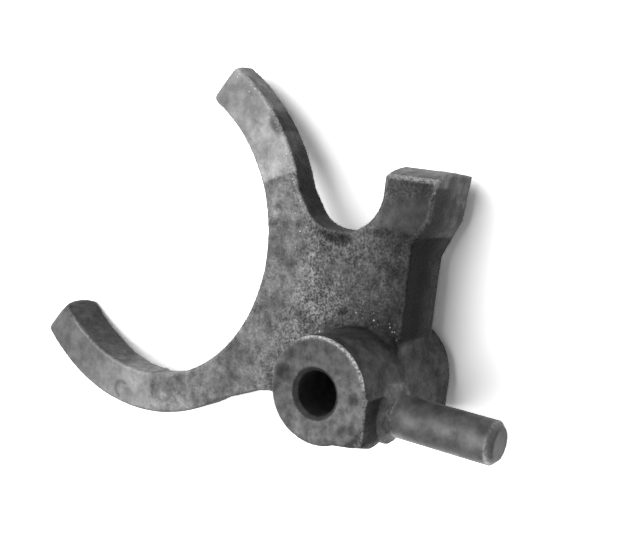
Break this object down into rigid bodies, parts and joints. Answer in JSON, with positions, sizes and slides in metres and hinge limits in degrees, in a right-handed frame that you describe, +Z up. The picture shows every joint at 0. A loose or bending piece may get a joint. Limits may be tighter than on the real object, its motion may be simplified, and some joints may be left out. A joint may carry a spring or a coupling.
{
  "type": "shift fork",
  "caption": "Forged steel shift fork: a hub bored for its rod, a web with a ribbed lug, a guide pin across the hub, and curved arms with machined pads round an open mouth.",
  "frame": {"origin": "on the bore's axis at the hub's rear face", "axes": "+Z up the bore's axis to the hub's nose, +X from the bore to the lug's end, the guide pin points to -Y"},
  "size_m": [0.0925, 0.142, 0.0398],
  "materials": {
    "forged_steel": "forged, dull grey, machined on the pads, bore and pin"
  },
  "bodies": {
    "root": {"shift_fork": "forged_steel"}
  },
  "joints": []
}
